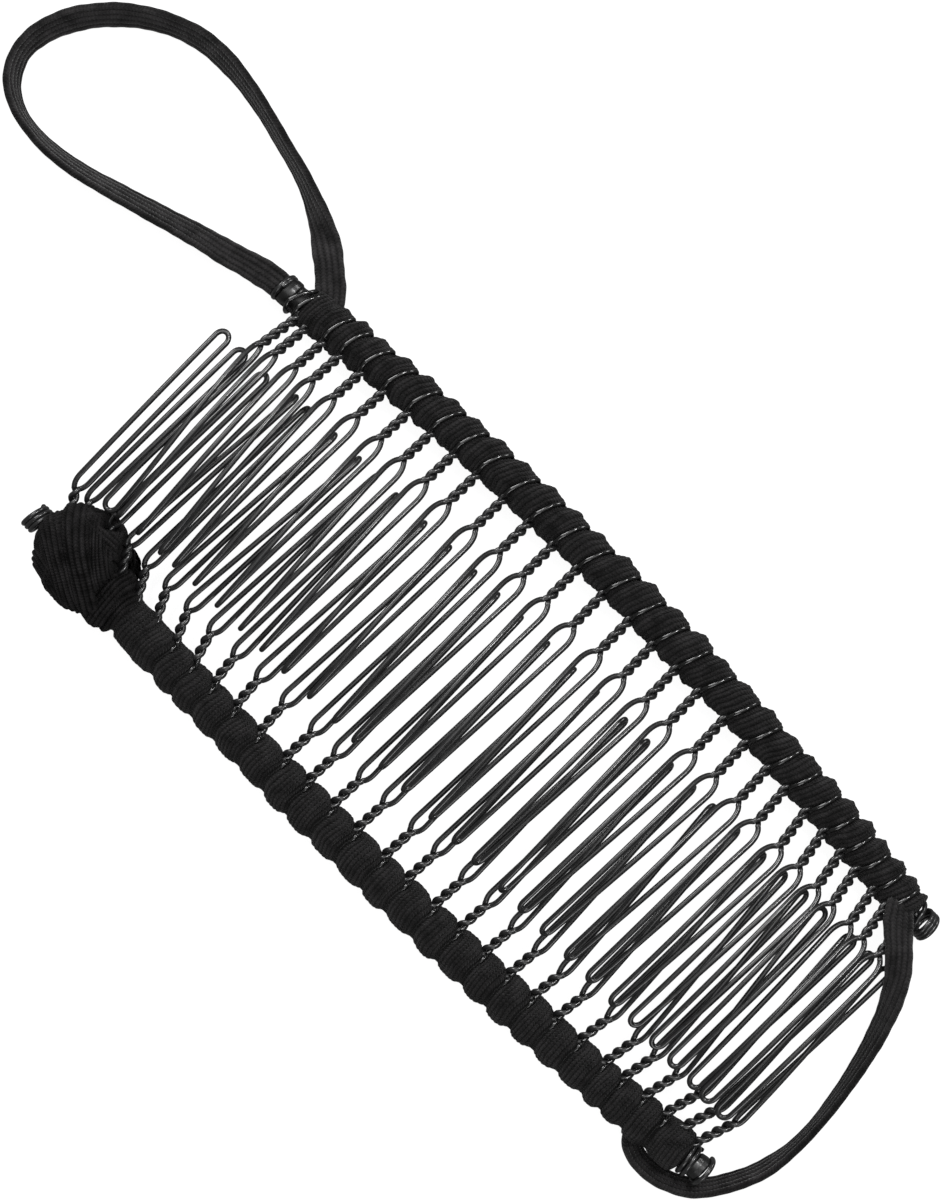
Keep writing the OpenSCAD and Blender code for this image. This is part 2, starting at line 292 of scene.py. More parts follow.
# what all finishes of the wire share
lacquerSet = {
    "spotScale": 900.0,
    "darkUpTo": 0.3,
    "lightFrom": 0.8,
    "grainScale": 3800.0,
    "grainHeight": 0.00005,    # metres
    "coatRough": 0.08,
}


# Black lacquered steel wire with faint drawing marks and worn spots
def lacqueredWire(name, look):
    k = lacquerSet
    mat, tree, bsdf = startMaterial(name)
    place = addNode(tree, "ShaderNodeTexCoord").outputs["Object"]
    spots = noiseAt(tree, place, k["spotScale"], 3.0, 0.6)
    colour = darkToLight(tree, spots, look, k["darkUpTo"], k["lightFrom"])
    tree.links.new(colour, bsdf.inputs["Base Color"])
    rough = roughBetween(tree, spots, look["roughLow"], look["roughHigh"])
    tree.links.new(rough, bsdf.inputs["Roughness"])
    bump = addNode(tree, "ShaderNodeBump", Strength=look["grain"], Distance=k["grainHeight"])
    tree.links.new(noiseAt(tree, place, k["grainScale"], 2.0, 0.5), bump.inputs["Height"])
    tree.links.new(bump.outputs[0], bsdf.inputs["Normal"])
    bsdf.inputs["Coat Weight"].default_value = look["coat"]
    bsdf.inputs["Coat Roughness"].default_value = k["coatRough"]
    return mat


bandCloth = knittedElastic("knittedBand", bandLook)
woundCloth = knittedElastic("woundElastic", woundLook)
knotCloth = knittedElastic("knottedElastic", knotLook)
blackWire = lacqueredWire("lacqueredWire", wireLook)
shinyWirePaintedShade = lacqueredWire("shinyWirePaintedShade", turnLook)
print("materials made")


# Rings of points, n rings of m, as one closed skin that stands for a node. across and along
# are for the stitches and have m + 1 columns, or one, so that they can wrap
def ringSkin(name, node, rings, across, along, material):
    n, m = rings.shape[:2]
    uv = np.stack(np.broadcast_arrays(across, along), -1)
    verts = (rings.reshape(-1, 3) * mm).tolist()
    faces = []
    for i in range(n - 1):
        for k in range(m):
            k2 = (k + 1) % m
            faces.append((i * m + k, i * m + k2, (i + 1) * m + k2, (i + 1) * m + k))
    sides = len(faces)
    faces.append(tuple(range(m - 1, -1, -1)))
    faces.append(tuple((n - 1) * m + k for k in range(m)))
    mesh = bpy.data.meshes.new(name)
    mesh.from_pydata(verts, [], faces)
    layer = mesh.uv_layers.new(name="knit")
    i, k = np.divmod(np.arange(sides), m)
    corners = np.stack([uv[i, k], uv[i, k + 1], uv[i + 1, k + 1], uv[i + 1, k]], 1)
    flat = np.zeros((len(mesh.loops), 2))
    flat[:sides * 4] = corners.reshape(-1, 2)
    layer.data.foreach_set("uv", flat.ravel())
    mesh.shade_smooth()
    mesh.update()
    obj = addObject(name, mesh)
    obj.data.materials.append(material)
    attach(obj, "root")
    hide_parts(node)
    return obj


# A smooth line through the rows of a table, with all its columns
def smoothRows(rows, step):
    rows = np.array(rows, float)
    ends = np.vstack([2 * rows[0] - rows[1], rows, 2 * rows[-1] - rows[-2]])
    out = []
    for i in range(1, len(ends) - 2):
        a, b, c, d = ends[i - 1:i + 3]
        count = max(2, round(np.linalg.norm((c - b)[:3]) / step))
        for t in np.arange(count) / count:
            out.append(0.5 * (2 * b + (c - a) * t + (2 * a - 5 * b + 4 * c - d) * t ** 2
                              + (3 * b - a - 3 * c + d) * t ** 3))
    out.append(ends[-2])
    return np.array(out)


# The two free lengths of elastic. A row of a route is x, y, z in metres, and the tilt of
# the band's width out of the level in degrees
bandSet = {
    "width": 4.5,
    "thickness": 1.4,
    "flatness": 0.55,      # 1 is an ellipse, less is boxier
    "ribs": 5,
    "ribDepth": 0.13,
    "around": 64,
    "step": 0.45,
    # the width's wobble along the band: share of the width, radians a millimetre, start
    "wobble": [(0.02, 0.9, 0), (0.015, 2.3, 1)],
    "pathEvery": 4,
}
loopSet = {
    "tuckStart": [(-0.0702, 0.02775, 0.0039, 0)],
    "route": [
        (-0.0726, 0.02775, 0.0039, 0), (-0.0766, 0.0276, 0.0039, 0), (-0.0805, 0.0267, 0.0033, 6),
        (-0.086, 0.0249, 0.0025, 18), (-0.092, 0.0232, 0.0021, 35), (-0.0985, 0.0213, 0.0021, 43),
        (-0.1055, 0.0193, 0.0022, 50), (-0.111, 0.0178, 0.0022, 56),
        (-0.116, 0.0169, 0.0023, 60), (-0.121, 0.0167, 0.0023, 67),
        (-0.1261, 0.0176, 0.0023, 69), (-0.1303, 0.0202, 0.0023, 58),
        (-0.1326, 0.0244, 0.0022, 50), (-0.1326, 0.0289, 0.0022, 42),
        (-0.1309, 0.0336, 0.0022, 38), (-0.128, 0.0379, 0.0021, 37), (-0.124, 0.0418, 0.0021, 38),
        (-0.119, 0.045, 0.0021, 45), (-0.1135, 0.047, 0.0021, 45), (-0.1085, 0.0475, 0.0022, 46),
        (-0.103, 0.0471, 0.0022, 56), (-0.0969, 0.0459, 0.0023, 63),
        (-0.0909, 0.0443, 0.0023, 64), (-0.0854, 0.0428, 0.0022, 61), (-0.0804, 0.0408, 0.002, 47),
        (-0.0759, 0.0384, 0.002, 14), (-0.0724, 0.0359, 0.0029, 0), (-0.0698, 0.0337, 0.0039, 0)],
    "tuckEnd": [(-0.0682, 0.0322, 0.0044, 0), (-0.0669, 0.0305, 0.0046, 0),
                (-0.0658, 0.029, 0.0046, 0)],
    # millimetres along the band, share of its width, shift across it, sink below the route
    "shape": [(0, 0.95, 0.4, 0), (5, 1.05, 0.5, 0), (9, 1.05, 0.5, 0), (14, 1.0, 0.3, 0),
              (20, 1, 0, 0), (70, 1, 0, 0), (76, 1.06, 0, 0), (84, 1.03, 0, 0), (92, 1, 0, 0),
              (137, 1, 0, 0), (141, 1.13, 0, 0)],
}
linkSet = {
    "tuckStart": [(0.0668, 0.0294, 0.0053, -15), (0.0686, 0.0281, 0.0067, -15),
                  (0.0698, 0.0268, 0.0084, -15)],
    "route": [
        (0.0705, 0.0257, 0.0093, -14), (0.0728, 0.0227, 0.0102, -6), (0.0753, 0.0197, 0.0104, 0),
        (0.0777, 0.0165, 0.0095, 20), (0.0799, 0.0125, 0.0072, 42), (0.0816, 0.0084, 0.0048, 51),
        (0.0829, 0.0043, 0.003, 58), (0.0839, 0.0, 0.0024, 65), (0.0846, -0.0042, 0.0023, 69),
        (0.0851, -0.0082, 0.0023, 73), (0.0853, -0.0118, 0.0023, 74),
        (0.0852, -0.0152, 0.0023, 71), (0.0848, -0.0184, 0.0022, 63),
        (0.084, -0.0219, 0.0021, 54), (0.0824, -0.0257, 0.002, 49), (0.0802, -0.0294, 0.0018, 41),
        (0.0774, -0.0322, 0.0017, 34), (0.0737, -0.034, 0.0016, 30), (0.0705, -0.0346, 0.0016, 30),
        (0.068, -0.0345, 0.0016, 30), (0.0661, -0.0338, 0.0016, 30)],
    "tuckEnd": [(0.0648, -0.0326, 0.0017, 20), (0.0642, -0.0311, 0.0018, 10)],
    "shape": [(0, 0.95, -0.3, 2.6), (5, 1.05, -0.7, 2.7), (6.7, 1.1, -0.8, 2.3),
              (8.6, 1.14, -0.8, 1.7), (10.6, 1.1, -0.6, 1.1), (13, 1.04, -0.35, 0.25),
              (17, 1, -0.1, 0), (24, 1, 0, 0), (55, 1, 0, 0), (66, 0.86, -0.35, 0),
              (90, 0.8, -0.45, 0)],
}


def addBand(name, node, s, b):
    rows = np.array(s["tuckStart"] + s["route"] + s["tuckEnd"]) * (1000, 1000, 1000, 1)
    rows = smoothRows(rows, b["step"])
    line, tilt = rows[:, :3], np.radians(rows[:, 3])
    tangent = unit(np.gradient(line, axis=0))
    level = unit(np.cross((0, 0, 1), tangent))
    up = np.cross(tangent, level)
    facing = np.cos(tilt)[:, None] * up - np.sin(tilt)[:, None] * level
    wide = unit(np.cross(facing, tangent))
    walked = np.concatenate([[0], np.cumsum(np.linalg.norm(np.diff(line, axis=0), axis=1))])
    # section: a rounded flat with soft ribs on both faces
    a = 2 * np.pi * np.arange(b["around"] + 1) / b["around"]
    sx = np.sign(np.cos(a)) * np.abs(np.cos(a)) ** b["flatness"]
    sy = np.sign(np.sin(a)) * np.abs(np.sin(a)) ** b["flatness"]
    rib = np.abs(np.sin(np.pi * b["ribs"] * (sx + 1) / 2))
    # the route's line is moved and the section squeezed where the shape's rows say
    at, share, shift, sink = np.array(s["shape"]).T
    squeeze = np.interp(walked, at, share)
    line = line - np.interp(walked, at, sink)[:, None] * np.array([0, 0, 1])
    line = line + np.interp(walked, at, shift)[:, None] * wide
    swell = 0.5 * b["thickness"] * (1 + np.maximum(1 - squeeze, 0))
    wobble = 1 + sum(size * np.sin(walked * rate + start) for size, rate, start in b["wobble"])
    x = 0.5 * b["width"] * squeeze[:, None] * wobble[:, None] * sx[None]
    y = swell[:, None] * (sy * (1 - b["ribDepth"] / b["thickness"] * 2 * (1 - rib)))[None]
    rings = line[:, None] + x[:, :-1, None] * wide[:, None] + y[:, :-1, None] * facing[:, None]
    rings[..., 2] = np.maximum(rings[..., 2], lowest)
    across = (sx + 1) / 2 * b["ribs"] * bandLook["ribPitch"]
    obj = ringSkin(name, node, rings, across[None], walked[:, None], bandCloth)
    path = (line[::b["pathEvery"]] * mm).tolist()
    path.append((line[-1] * mm).tolist())
    print(name, "length", round(walked[-1], 1), "mm")


addBand("elasticLoop", "elastic_loop", loopSet, bandSet)
addBand("elasticLink", "elastic_link", linkSet, bandSet)
print("cords made")


# The combs. A row of a table of teeth is the place of the fork, the half width at the
# shoulder, the place of the tip and the tip's turn in degrees
combSet = {
    "spineZ": 3.9,
    "bowHalf": 70.0,         # where a spine has bowed by its spineBow, from the bow's middle
    "archHalf": 31.0,        # the teeth arch from here on one side to here on the other
    "wire": 0.94,
    "turnWire": 0.76,
    "coilWire": 0.84,
    "coilStep": 6,           # degrees from one point to the next
    "spineRod": 1.8,
    "forkGap": 0.03,         # between the two legs where they leave the twist
    "strandGap": 0.01,       # off the middle line of the twist
    "tipHalf": 0.85,
    "tipFlare": 0.3,         # added where the hairpin lies flat
    "tipLength": 1.4,
    "raise": 1.0,            # how much higher a raised tooth lies
    "twistPitch": 4.0,
    "twistStep": 0.28,
    "shoulderPoints": 9,
    "legFrom": 0.08,         # the first point of a straight leg, share of the leg
    "legPoints": 13,
    "tipPoints": (74, 58, 42, 28, 14, 0),    # degrees before the middle of the hairpin
    "bevelSteps": 4,
}
upperComb = {
    "name": "upper",
    "side": 1,
    "rise": 9.0,
    "shoulder": 3.4,
    "turnPower": 0.85,       # low turns a tooth early on its way to the tip
    "raised": (26, 28),      # teeth that lie on top where two cross
    "spineEnds": (-73.6, 73.2),
    "spineY": 31.5,
    "spineBow": -4.0,
    "bowMiddle": -4.0,
    "teeth": [
        (-70.3, 0.8, -69.3, 180), (-67.5, 0.9, -67.3, 110), (-63.6, 1.0, -62.9, 90),
        (-60.1, 1.1, -58.0, 80), (-55.6, 1.15, -54.9, 85), (-50.7, 1.3, -50.4, 90),
        (-45.4, 1.3, -45.3, 90), (-40.3, 1.35, -39.9, 90), (-35.2, 1.35, -35.0, 90),
        (-30.1, 1.4, -29.9, 80), (-24.1, 1.45, -24.0, 85), (-18.4, 1.5, -18.3, 75),
        (-12.9, 1.5, -13.7, 70), (-7.3, 1.55, -7.5, 75), (-1.3, 1.65, -2.2, 65),
        (4.8, 1.65, 4.2, 70), (10.4, 1.6, 9.7, 60), (15.9, 1.55, 14.4, 55),
        (21.2, 1.7, 20.7, 55), (27.4, 1.65, 25.3, 45), (32.7, 1.6, 30.5, 45),
        (38.2, 1.65, 36.2, 45), (42.9, 1.8, 41.3, 40), (48.4, 1.8, 46.7, 40),
        (53.0, 1.75, 51.4, 25), (57.4, 1.8, 56.4, 20), (61.1, 1.65, 60.7, 0),
        (65.4, 1.65, 65.5, 0), (68.6, 1.6, 68.5, 0), (72.5, 1.65, 72.3, 0)],
    "forkLine": [(-71, 18), (-64, 19.3), (-50, 20.6), (-25, 21), (5, 20.8),
                 (25, 20.2), (40, 19.1), (55, 18.5), (72, 17.4)],
    "tipLine": [(-70, -19), (-63, -18.1), (-50, -17.5), (0, -17.7), (35, -18.5),
                (60, -19), (72, -19.5)],
    "leanLine": [(-71, -1.6), (-66, -0.5), (0, 0), (40, 0.1), (50, 1.4), (60, 1.4), (72, 1)],
}
lowerComb = {
    "name": "lower",
    "side": -1,
    "rise": 5.5,
    "shoulder": 2.3,
    "turnPower": 0.6,
    "raised": (),
    "spineEnds": (-76.4, 76.4),
    "spineY": -31.1,
    "spineBow": 2.5,
    "bowMiddle": 0.0,
    "teeth": [
        (-75.5, 1.05, -75.6, 0), (-72.6, 0.85, -71.5, 15), (-67.1, 0.95, -66.2, 30),
        (-62.8, 0.9, -60.1, 70), (-58.3, 1.0, -57.3, 60), (-53.4, 1.05, -51.2, 70),
        (-48.4, 1.1, -45.6, 75), (-43.1, 1.1, -41.6, 80), (-37.5, 1.1, -37.1, 80),
        (-32.1, 1.2, -30.5, 75), (-26.2, 1.2, -24.8, 80), (-19.6, 1.2, -19.0, 80),
        (-14.2, 1.15, -13.7, 80), (-8.5, 1.1, -8.3, 85), (-2.9, 1.1, -2.2, 85),
        (3.5, 1.15, 3.9, 90), (8.8, 1.05, 9.2, 95), (15.1, 1.0, 15.7, 115),
        (20.8, 1.0, 20.8, 115), (26.6, 0.95, 26.2, 115), (32.0, 0.9, 31.4, 115),
        (37.5, 0.8, 36.0, 120), (42.7, 0.85, 41.5, 120), (48.2, 0.85, 47.4, 125),
        (53.9, 0.85, 52.1, 130), (58.0, 0.85, 56.7, 135), (62.8, 0.85, 60.8, 165),
        (67.5, 0.8, 67.4, 160), (71.5, 0.65, 71.5, 150), (75.2, 0.6, 75.2, 150)],
    "forkLine": [(-75, -20.2), (-58, -21.3), (-45, -21.6), (32, -21.6), (48, -21),
                 (58, -20.2), (75, -19)],
    "tipLine": [(-75, 15.5), (-66, 15), (-60, 16), (45, 16.1), (57, 16.6), (75, 16.9)],
    "leanLine": [(-58, -4.5), (-48, -3.6), (-43, -2.4), (-37, -0.8), (-26, -0.5), (-19, 0.5),
                 (10, 0.5), (50, 1.2), (63, 2), (75, 3.2)],
}


# A spine is a shallow bow
def spineY(comb, x):
    return comb["spineY"] + comb["spineBow"] * ((x - comb["bowMiddle"]) / combSet["bowHalf"]) ** 2


def archZ(comb, y):
    return combSet["spineZ"] + comb["rise"] * (1 - (y / combSet["archHalf"]) ** 2)


# Where the leaning stem of a tooth meets the spine
def rootX(comb, row):
    return row[0] - lookUp(row[0], comb["leanLine"])


# A point of tooth i, at d from its fork, on its leg -1 or 1
def toothPoint(comb, i, d, leg):
    row = comb["teeth"][i]
    c = combSet
    y0, y1 = lookUp(row[0], comb["forkLine"]), lookUp(row[2], comb["tipLine"])
    run = abs(y1 - y0)
    s = d / run
    y = y0 + (y1 - y0) * s
    endHalf = c["tipHalf"] + c["tipFlare"] * abs(math.cos(math.radians(row[3])))
    opened = quarterRound(d, comb["shoulder"], 0)
    closed = quarterRound(run - d, c["tipLength"], 0)
    half = (row[1] + (endHalf - row[1]) * s) * opened * closed
    turn = math.radians(-comb["side"] * row[3] * s ** comb["turnPower"])
    lift = c["raise"] if i in comb["raised"] else 0
    return np.array([row[0] + (row[2] - row[0]) * s + leg * half * math.cos(turn), y,
                     archZ(comb, y) + lift + leg * half * math.sin(turn)])


# One tooth is one wire: up one strand of the twist, round the hairpin and back
def toothWire(comb, i):
    c = combSet
    row = comb["teeth"][i]
    run = abs(lookUp(row[2], comb["tipLine"]) - lookUp(row[0], comb["forkLine"]))
    shoulder = comb["shoulder"]
    first = math.asin(min(1, (c["wire"] / 2 + c["forkGap"]) / row[1]))
    bends = [shoulder * (1 - math.cos(a))
             for a in np.linspace(first, math.pi / 2, c["shoulderPoints"])]
    straight = run - c["tipLength"] - shoulder
    bends += [shoulder + straight * share for share in np.linspace(c["legFrom"], 1, c["legPoints"])]
    bends += [run - c["tipLength"] * (1 - math.cos(a)) for a in np.radians(c["tipPoints"])]
    left = [toothPoint(comb, i, d, -1) for d in bends]
    right = [toothPoint(comb, i, d, 1) for d in bends[-2::-1]]
    # the two strands of the twist run from the fork down to the spine
    fork = (left[0] + right[-1]) / 2
    x = rootX(comb, row)
    root = np.array([x, spineY(comb, x), c["spineZ"]])
    way = fork - root
    length = np.linalg.norm(way)
    way = way / length
    side = unit(np.array([1, 0, 0]) - way * way[0])
    top = np.cross(way, side)
    strands = []
    for leg in (-1, 1):
        strand = []
        for s in np.arange(length, -0.01, -c["twistStep"]):
            a = 2 * math.pi * (s - length) / c["twistPitch"]
            off = (c["wire"] / 2 + c["strandGap"]) * (math.cos(a) * side + math.sin(a) * top)
            strand.append(root + s * way + leg * off)
        strands.append(strand)
    return strands[0][:0:-1] + left + right + strands[1][1:]


# Wires of one comb as one curve object, a spline for each
def addWires(comb, kind, wires, diameter, material=blackWire):
    data = bpy.data.curves.new(comb["name"] + kind, "CURVE")
    data.dimensions = "3D"
    data.bevel_depth = diameter / 2 * mm
    data.bevel_resolution = combSet["bevelSteps"]
    data.use_fill_caps = True
    for points in wires:
        spline = data.splines.new("POLY")
        spline.points.add(len(points) - 1)
        spline.use_smooth = True
        rows = np.ones((len(points), 4))
        rows[:, :3] = np.array(points) * mm
        spline.points.foreach_set("co", rows.ravel())
    obj = addObject(comb["name"] + kind, data)
    data.materials.append(material)
    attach(obj, "root")
    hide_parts(comb["name"] + "_comb_wire")


for comb in (upperComb, lowerComb):
    wires = [toothWire(comb, i) for i in range(len(comb["teeth"]))]
    addWires(comb, "Teeth", wires, combSet["wire"])
print("teeth made")


# The end coils: the first turn's place and the step to the next one, both along the spine.
# tilt leans the turns, so that their tops lie further along, and lean slants them seen from above
coilSet = {
    "upperLeft": {"comb": "upper", "x": -74.6, "step": 0.4, "turns": 1.5, "radius": 2.3,
                  "tilt": -12, "lean": 5, "from": -90},
    "upperRightStart": {"comb": "upper", "x": 72.2, "step": 0.8, "turns": 0.7, "radius": 2.3,
                        "tilt": 14, "lean": -6, "from": -90},
    "upperRight": {"comb": "upper", "x": 73.65, "step": 0.62, "turns": 3.1, "radius": 2.25,
                   "tilt": 22, "lean": 0, "from": -160},
    "lowerLeft": {"comb": "lower", "x": -75.2, "step": -0.8, "turns": 3.2, "radius": 2.2,
                  "tilt": -8, "lean": 8, "from": -90},
    "lowerRightInner": {"comb": "lower", "x": 73.1, "step": 0.95, "turns": 2.1, "radius": 2.6,
                        "tilt": 3, "lean": -5, "from": -90},
    "lowerRightOuter": {"comb": "lower", "x": 76.9, "step": 0.4, "turns": 0.85, "radius": 2.5,
                        "tilt": 17, "lean": 0, "from": -8},
}

# The smooth sleeves at the ends: rows of place along the spine and radius
sleeveSet = {
    "upper": [(-74.4, 2.1), (-74, 2.35), (-73.2, 2.45), (-72.3, 2.35), (-72, 2.1), (-71.6, 2.05),
              (-69.9, 2.3)],
    "lower": [(73.4, 2), (74.8, 2), (75.1, 2.3), (76, 2.4), (77, 2.3), (77.3, 1.9)],
    "rings": 40,
    "around": 72,
    "rimLength": 0.4,
    "rimDip": 0.25,      # share of the radius that is lost at a rim
    "ripple": 0.03,      # share of the radius
    "girth": 14.0,
}
sleeveLook = {
    "dark": (0.002, 0.002, 0.002),
    "light": (0.005, 0.005, 0.005),
    "roughLow": 0.3,
    "roughHigh": 0.45,
    "coat": 0.1,
    "grain": 0.12,
}


def coilWire(comb, c):
    tilt, lean = math.radians(c["tilt"]), math.tan(math.radians(c["lean"]))
    points = []
    for degrees in np.arange(c["from"], c["from"] + 360 * c["turns"] + 1, combSet["coilStep"]):
        turn = (degrees - c["from"]) / 360
        x = c["x"] + c["step"] * turn
        a = math.radians(degrees)
        points.append([x + c["radius"] * (math.sin(a) * math.sin(tilt) + math.cos(a) * lean),
                       spineY(comb, c["x"]) + c["radius"] * math.cos(a),
                       combSet["spineZ"] + c["radius"] * math.sin(a) * math.cos(tilt)
                       - c["step"] * (turn - c["turns"] / 2) * math.tan(tilt)])
    return points


for comb in (upperComb, lowerComb):
    coils = [coilWire(comb, c) for c in coilSet.values() if c["comb"] == comb["name"]]
    addWires(comb, "Coils", coils, combSet["coilWire"])
    rod = [[x, spineY(comb, x), combSet["spineZ"]] for x in np.linspace(*comb["spineEnds"], 60)]
    addWires(comb, "Spine", [rod], combSet["spineRod"])


# A sleeve follows its rows, with rounded rims
def addSleeve(comb, s, material):
    rows = s[comb["name"]]
    x = np.linspace(rows[0][0], rows[-1][0], s["rings"])
    part = np.arange(s["around"] + 1)[None] / s["around"]
    a = 2 * np.pi * part
    fromEnd = np.minimum(x - x[0], x[-1] - x)[:, None]
    rim = 1 - s["rimDip"] * (1 - quarterRound(fromEnd, s["rimLength"], 0))
    ripple = 1 + s["ripple"] * wander(x[:, None] * 0.8, 2 * np.sin(a), 51)
    r = lookUp(x, rows)[:, None] * rim * ripple
    y = spineY(comb, x)[:, None] + r * np.cos(a)
    z = combSet["spineZ"] + r * np.sin(a)
    rings = np.stack([np.broadcast_to(x[:, None], y.shape), y, z], -1)
    ringSkin(comb["name"] + "Sleeve", comb["name"] + "_comb_wire", rings[:, :-1], x[:, None],
             part * s["girth"], material)


blackSleeve = lacqueredWire("blackSleeve", sleeveLook)
for comb in (upperComb, lowerComb):
    addSleeve(comb, sleeveSet, blackSleeve)
print("coils and spines made")


# The windings. A turn of the elastic reaches from each stem to the next, thick where it
# starts and thinner where the next turn laps it. Each turn's height, lean and ribs differ a little
ribFullness = 0.75         # 1 is half a sine wave, less is fuller
windingSet = {
    "groove": 3.0,         # radius of a groove's floor
    "mostRadius": 4.5,
    "turnLength": 5.3,     # about one turn along the spine
    "ringsPerTurn": 36,
    "around": 84,
    "stitchesRound": 38,
    "floorShare": 0.07,    # of a turn's pitch, the flat floor on each side of a groove
    "edgeShare": 0.08,     # over which an edge rounds up
    "stemOut": 0.4,        # share of the way from a stem's root to its fork
    "firstStem": 1.0,      # stems nearer the start than this get no groove
    "spare": 6.0,          # between the grooves that are added past the ends
    "turnsDrawn": 60,      # random heights and leans that are drawn, more than there are turns
    "heightLeast": 0.8,    # share of the height
    "heightSpread": 0.4,
    "leanSpread": 0.16,
    "plainHeight": 0.8,    # share of the height before the first groove
    "plainSlant": 5.0,     # its end slants with the turns, mm for a whole turn
    "plainFade": 3.0,      # length over which the grooves deepen
    "slowLumps": 0.12,
    "fastLumps": 0.13,
    "outerLumps": 0.8,     # how much stronger on the side away from the stems
    "ribSway": 0.32,
    "ribUneven": 0.5,
    "ribSideFade": 0.6,    # how much of the ribs' depth is lost at the two sides
    "endRound": 1.5,
    "dentPlace": -54.6,    # the nip beside the knot
    "dentWidth": 0.6,
    "lastWire": 2.5,       # no turn of wire is nearer the end than this
    "wirePoints": 96,
    "wirePart": (-0.02, 0.98),    # the part of a full turn that a wire goes
    "wireSunk": 2.6,       # its radius under the elastic
    "wireRise": 25,        # degrees over which it comes up
    "wireEarly": 15,       # degrees before the part that stands proud
    "bareDrop": 0.35,      # how much lower a turn before the elastic lies
}
upperWinding = {
    "comb": upperComb,
    "name": "upperWinding",
    "node": "upper_winding",
    "ends": (-70.2, 72.3),
    "stemAngle": 180,      # where the stems leave, degrees from +Y over the top
    "overTop": -1,         # the turns go from the stems over the top
    # how far a turn has advanced after a share of its way round, at the -X and the +X end
    "advance": [(0, 0), (0.05, -0.04), (0.14, -0.13), (0.19, -0.17), (0.25, -0.1), (0.32, 0.01),
                (0.36, 0.15), (0.42, 0.3), (0.5, 0.42), (1, 1)],
    "advanceEnd": [(0, 0), (0.05, 0.03), (0.14, 0.1), (0.19, 0.22), (0.25, 0.32), (0.32, 0.4),
                   (0.42, 0.46), (0.5, 0.5), (1, 1)],
    "height": 1.0,
    "sides": (0.75, 1.05),  # how much of the height is left at the -Y and +Y side
    "floorRise": (0.2, -0.15),  # how much higher the grooves' floor is at the -Y and +Y side
    "ribEvery": 1.05,
    "ribDepth": 0.26,
    # share of the height at a share of the pitch
    "profile": [(0, 0), (0.08, 0.3), (0.4, 1), (0.52, 0.9), (0.62, 0.66), (0.9, 0.55), (1, 0)],
    "skip": 5.5,           # millimetres before the first deep groove
    "skipEnd": 1.5,        # millimetres without a groove at the other end
    "lastTurn": 4.2,
    "dent": 0,             # depth of the nip where the winding meets the knot
    "wireOut": 3.38,
    "wireSquare": (2.7, 2.0),  # how square its arc is at the -X and the +X end
    "wireFrom": 176,       # the part of the wire turn that stands proud, degrees
    "wireTo": 27,
    "bare": (-69.7, -71.2),    # turns of wire before the elastic starts
}
lowerWinding = {
    "comb": lowerComb,
    "name": "lowerWinding",
    "node": "lower_winding",
    "ends": (-56.5, 73.6),
    "stemAngle": 0,
    "overTop": 1,
    "advance": [(0, 0), (0.06, 0.1), (0.1, 0.16), (0.15, 0.15), (0.19, 0.1), (0.25, 0.05),
                (0.32, 0.03), (0.36, 0.09), (0.42, 0.2), (0.5, 0.32), (1, 1)],
    "advanceEnd": [(0, 0), (0.1, 0.08), (0.15, 0.08), (0.25, 0.04), (0.36, 0.06), (0.5, 0.1),
                   (1, 1)],
    "height": 1.0,
    "sides": (0.75, 0.75),
    "floorRise": (0.35, 0.2),
    "ribEvery": 0.87,
    "ribDepth": 0.24,
    "profile": [(0, 0), (0.08, 0.55), (0.25, 0.9), (0.55, 1), (0.74, 0.85), (0.88, 0.4), (1, 0)],
    "skip": 10.0,
    "skipEnd": 7.5,
    "lastTurn": 9.0,
    "dent": 0.9,
    "wireOut": 3.34,
    "wireSquare": (2.6, 2.6),
    "wireFrom": 21,
    "wireTo": 54,
    "bare": (),
}


# The -X and the +X values of a winding hold at these places, and are blended in between
blendFrom, blendTo = -60, 60


def advanceAt(w, part, x):
    share = np.clip((x - blendFrom) / (blendTo - blendFrom), 0, 1)
    return (1 - share) * lookUp(part, w["advance"]) + share * lookUp(part, w["advanceEnd"])


# There is a groove where each stem comes out, a little way off its root as the stems lean. More
# are added past both ends, so that the turns there have a pitch too
def grooveXs(w, s):
    out = s["stemOut"]
    roots = [(1 - out) * rootX(w["comb"], row) + out * row[0] for row in w["comb"]["teeth"]]
    x0, x1 = w["ends"]
    inside = [x for x in roots if x0 + s["firstStem"] < x < x1 - w["skipEnd"]]
    before = inside[0] - (inside[1] - inside[0])
    after = inside[-1] + w["lastTurn"]
    return np.array([before - s["spare"] * k for k in (3, 2, 1, 0)] + inside
                    + [after + s["spare"] * k for k in (0, 1, 2)])


